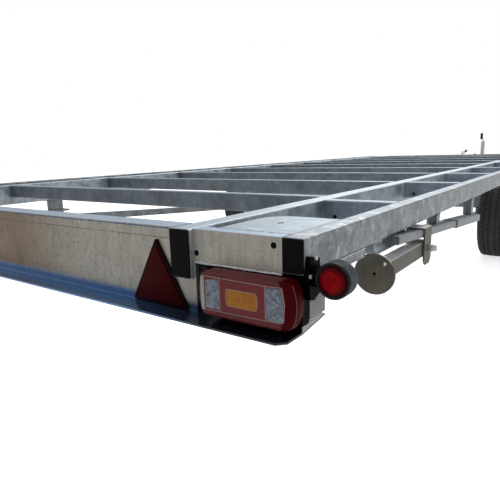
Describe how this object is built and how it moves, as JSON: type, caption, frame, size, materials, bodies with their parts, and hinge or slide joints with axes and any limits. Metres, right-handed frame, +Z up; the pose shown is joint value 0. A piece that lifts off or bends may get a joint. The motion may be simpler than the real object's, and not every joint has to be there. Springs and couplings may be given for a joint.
{
  "type": "tiny house trailer",
  "caption": "Long flat galvanised trailer chassis for a tiny house, with a hollow-section deck frame, close-set wheels, rear lamps, prop legs, drawbar and jockey wheel.",
  "frame": {"origin": "on the floor, below the centre of the overall length and width", "axes": "+X to the trailer's right seen from behind it looking forward, +Y forward to the coupling, +Z up"},
  "size_m": [2.452, 7.43, 0.866],
  "materials": {
    "amber_lens": "gloss",
    "black_plastic": "matte",
    "black_rubber": "matte",
    "cast_steel": "satin",
    "clear_lens": "gloss",
    "galvanised_steel": "satin",
    "marker_red": "gloss",
    "red_lens": "gloss",
    "reflector_red": "satin",
    "rim_steel": "satin",
    "tyre_rubber": "matte",
    "wheel_rubber": "matte",
    "zinc_plate": "satin"
  },
  "bodies": {
    "chassis": {"axle_arms": "cast_steel", "axle_beams": "galvanised_steel", "axle_mounts": "galvanised_steel", "axle_stays": "galvanised_steel", "corner_gussets": "galvanised_steel", "coupling_handle": "black_plastic", "coupling_head": "zinc_plate", "cross_members": "galvanised_steel", "drawbar_arms": "galvanised_steel", "drawbar_plates": "galvanised_steel", "front_beam": "galvanised_steel", "handbrake_lever": "zinc_plate", "inner_rails": "galvanised_steel", "jockey_clamp": "cast_steel", "jockey_crank": "zinc_plate", "jockey_outer_tube": "zinc_plate", "lamp_carriers": "galvanised_steel", "leg_brackets": "galvanised_steel", "marker_lamp_arms": "black_rubber", "marker_lamp_bodies": "black_rubber", "marker_lamp_lenses": "marker_red", "outer_rails": "galvanised_steel", "overrun_bellows": "black_rubber", "overrun_housing": "cast_steel", "rail_doublers": "galvanised_steel", "rail_end_caps": "black_plastic", "rear_beam": "galvanised_steel", "side_bar_posts": "galvanised_steel", "side_bar_straps": "galvanised_steel", "side_bars": "galvanised_steel", "side_cross_members": "galvanised_steel", "tail_lamp_amber_windows": "amber_lens", "tail_lamp_bases": "black_plastic", "tail_lamp_clear_windows": "clear_lens", "tail_lamp_lenses": "red_lens", "triangle_reflectors": "reflector_red"},
    "wheel_rear_right": {"tyre_rear_right": "tyre_rubber", "rim_rear_right": "rim_steel"},
    "leg_rear_right": {"prop_leg_rear_right": "galvanised_steel"},
    "foot_rear_right": {"prop_foot_rear_right": "galvanised_steel"},
    "wheel_rear_left": {"tyre_rear_left": "tyre_rubber", "rim_rear_left": "rim_steel"},
    "leg_rear_left": {"prop_leg_rear_left": "galvanised_steel"},
    "foot_rear_left": {"prop_foot_rear_left": "galvanised_steel"},
    "wheel_front_right": {"tyre_front_right": "tyre_rubber", "rim_front_right": "rim_steel"},
    "leg_front_right": {"prop_leg_front_right": "galvanised_steel"},
    "foot_front_right": {"prop_foot_front_right": "galvanised_steel"},
    "wheel_front_left": {"tyre_front_left": "tyre_rubber", "rim_front_left": "rim_steel"},
    "leg_front_left": {"prop_leg_front_left": "galvanised_steel"},
    "foot_front_left": {"prop_foot_front_left": "galvanised_steel"},
    "jockey_tube": {"jockey_inner_tube": "zinc_plate"},
    "jockey_fork": {"jockey_fork": "zinc_plate"},
    "jockey_wheel": {"jockey_wheel": "wheel_rubber"}
  },
  "joints": [
    {"name": "spin_rear_right", "type": "hinge", "parent": "chassis", "child": "wheel_rear_right", "pos_m": [1.015, -0.825, 0.263], "axis": [1, 0, 0], "continuous": true},
    {"name": "spin_rear_left", "type": "hinge", "parent": "chassis", "child": "wheel_rear_left", "pos_m": [-1.015, -0.825, 0.263], "axis": [1, 0, 0], "continuous": true},
    {"name": "spin_front_right", "type": "hinge", "parent": "chassis", "child": "wheel_front_right", "pos_m": [1.015, -0.125, 0.263], "axis": [1, 0, 0], "continuous": true},
    {"name": "spin_front_left", "type": "hinge", "parent": "chassis", "child": "wheel_front_left", "pos_m": [-1.015, -0.125, 0.263], "axis": [1, 0, 0], "continuous": true},
    {"name": "swing_leg_rear_right", "type": "hinge", "parent": "chassis", "child": "leg_rear_right", "pos_m": [1.148, -3.04, 0.473], "axis": [1, 0, 0], "range_deg": [0, 90]},
    {"name": "swing_leg_rear_left", "type": "hinge", "parent": "chassis", "child": "leg_rear_left", "pos_m": [-1.148, -3.04, 0.473], "axis": [1, 0, 0], "range_deg": [0, 90]},
    {"name": "swing_leg_front_right", "type": "hinge", "parent": "chassis", "child": "leg_front_right", "pos_m": [1.148, 1.71, 0.473], "axis": [-1, 0, 0], "range_deg": [0, 90]},
    {"name": "swing_leg_front_left", "type": "hinge", "parent": "chassis", "child": "leg_front_left", "pos_m": [-1.148, 1.71, 0.473], "axis": [-1, 0, 0], "range_deg": [0, 90]},
    {"name": "extend_foot_rear_right", "type": "slide", "parent": "leg_rear_right", "child": "foot_rear_right", "axis": [0, -1, 0], "range_m": [0, 0.145]},
    {"name": "extend_foot_rear_left", "type": "slide", "parent": "leg_rear_left", "child": "foot_rear_left", "axis": [0, -1, 0], "range_m": [0, 0.145]},
    {"name": "extend_foot_front_right", "type": "slide", "parent": "leg_front_right", "child": "foot_front_right", "axis": [0, 1, 0], "range_m": [0, 0.145]},
    {"name": "extend_foot_front_left", "type": "slide", "parent": "leg_front_left", "child": "foot_front_left", "axis": [0, 1, 0], "range_m": [0, 0.145]},
    {"name": "jockey_height", "type": "slide", "parent": "chassis", "child": "jockey_tube", "axis": [0, 0, 1], "range_m": [-0.06, 0.17]},
    {"name": "jockey_swivel", "type": "hinge", "parent": "jockey_tube", "child": "jockey_fork", "pos_m": [0.17, 3.175, 0.236], "axis": [0, 0, 1], "continuous": true},
    {"name": "jockey_roll", "type": "hinge", "parent": "jockey_fork", "child": "jockey_wheel", "pos_m": [0.17, 3.125, 0.108], "axis": [1, 0, 0], "continuous": true}
  ]
}
